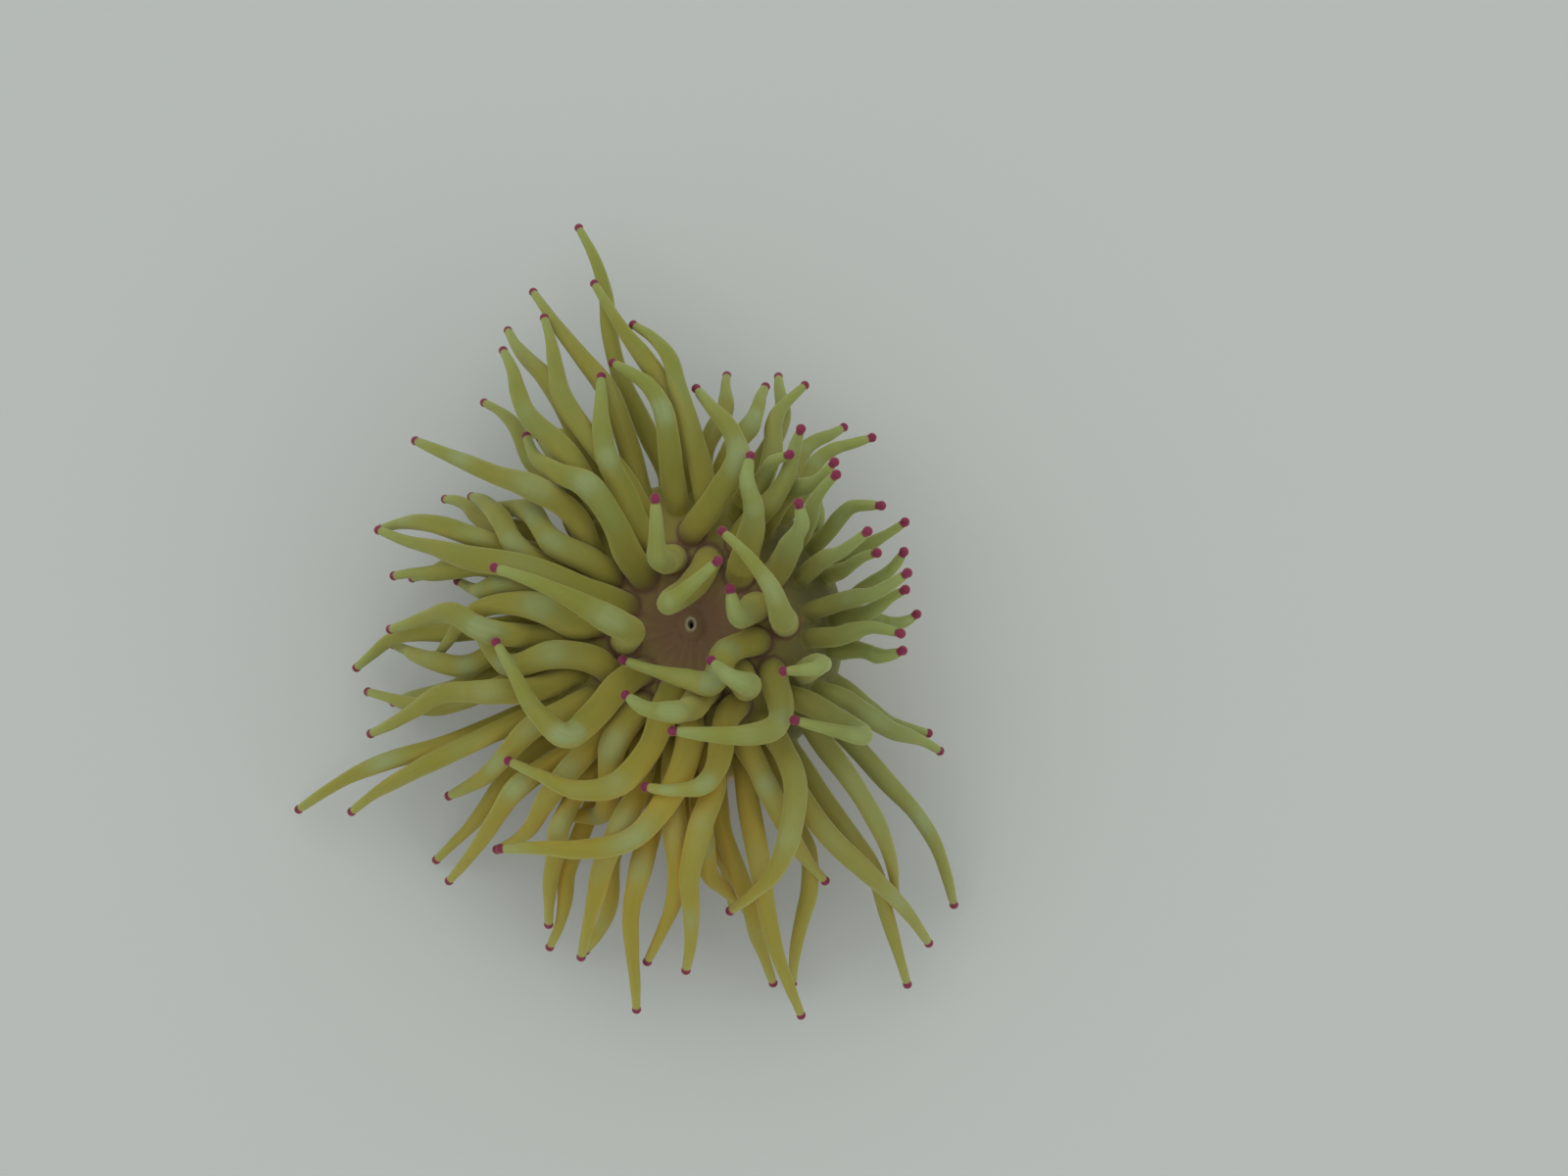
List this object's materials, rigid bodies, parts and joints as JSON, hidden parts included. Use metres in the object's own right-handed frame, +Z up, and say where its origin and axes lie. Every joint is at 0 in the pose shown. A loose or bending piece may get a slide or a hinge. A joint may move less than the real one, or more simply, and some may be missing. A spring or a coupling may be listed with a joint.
{
  "type": "sea anemone",
  "caption": "Still, life-size sea anemone: round pedal disc, flared column, oral disc with a lipped mouth, and a full crown of long tapering olive tentacles with small magenta tips.",
  "frame": {"origin": "centre of the pedal disc's flat underside, on the floor", "axes": "+Z up the column to the mouth; +X towards the side where the tentacles are crowded and upright; +Y towards the crown's longest tentacles"},
  "size_m": [0.1261, 0.153, 0.0667],
  "materials": {
    "tentacle_flesh": "soft moist flesh, olive yellow, paler on the upturned bends, with magenta tips",
    "disc_flesh": "soft moist flesh, mauve brown with faint pale radial lines",
    "lip_flesh": "pale, moist and slightly translucent",
    "column_flesh": "smooth moist flesh, salmon orange with faint paler lines up and down it"
  },
  "bodies": {
    "root": {"pedal_disc": "column_flesh", "column_lower": "column_flesh", "column_upper": "column_flesh", "oral_disc": "disc_flesh", "mouth_lips": "lip_flesh", "tentacle_first_01_base": "tentacle_flesh", "tentacle_first_01_tip": "tentacle_flesh", "tentacle_first_02_base": "tentacle_flesh", "tentacle_first_02_tip": "tentacle_flesh", "tentacle_first_03_base": "tentacle_flesh", "tentacle_first_03_tip": "tentacle_flesh", "tentacle_first_04_base": "tentacle_flesh", "tentacle_first_04_tip": "tentacle_flesh", "tentacle_first_05_base": "tentacle_flesh", "tentacle_first_05_tip": "tentacle_flesh", "tentacle_first_06_base": "tentacle_flesh", "tentacle_first_06_tip": "tentacle_flesh", "tentacle_first_07_base": "tentacle_flesh", "tentacle_first_07_tip": "tentacle_flesh", "tentacle_first_08_base": "tentacle_flesh", "tentacle_first_08_tip": "tentacle_flesh", "tentacle_first_09_base": "tentacle_flesh", "tentacle_first_09_tip": "tentacle_flesh", "tentacle_first_10_base": "tentacle_flesh", "tentacle_first_10_tip": "tentacle_flesh", "tentacle_first_11_base": "tentacle_flesh", "tentacle_first_11_tip": "tentacle_flesh", "tentacle_first_12_base": "tentacle_flesh", "tentacle_first_12_tip": "tentacle_flesh", "tentacle_second_01": "tentacle_flesh", "tentacle_second_02": "tentacle_flesh", "tentacle_second_03": "tentacle_flesh", "tentacle_second_04": "tentacle_flesh", "tentacle_second_05": "tentacle_flesh", "tentacle_second_06": "tentacle_flesh", "tentacle_second_07": "tentacle_flesh", "tentacle_second_08": "tentacle_flesh", "tentacle_second_09": "tentacle_flesh", "tentacle_second_10": "tentacle_flesh", "tentacle_second_11": "tentacle_flesh", "tentacle_second_12": "tentacle_flesh", "crown_sector_01": "tentacle_flesh", "crown_sector_02": "tentacle_flesh", "crown_sector_03": "tentacle_flesh", "crown_sector_04": "tentacle_flesh", "crown_sector_05": "tentacle_flesh", "crown_sector_06": "tentacle_flesh", "crown_sector_07": "tentacle_flesh", "crown_sector_08": "tentacle_flesh", "crown_sector_09": "tentacle_flesh", "crown_sector_10": "tentacle_flesh", "crown_sector_11": "tentacle_flesh", "crown_sector_12": "tentacle_flesh"}
  },
  "joints": []
}
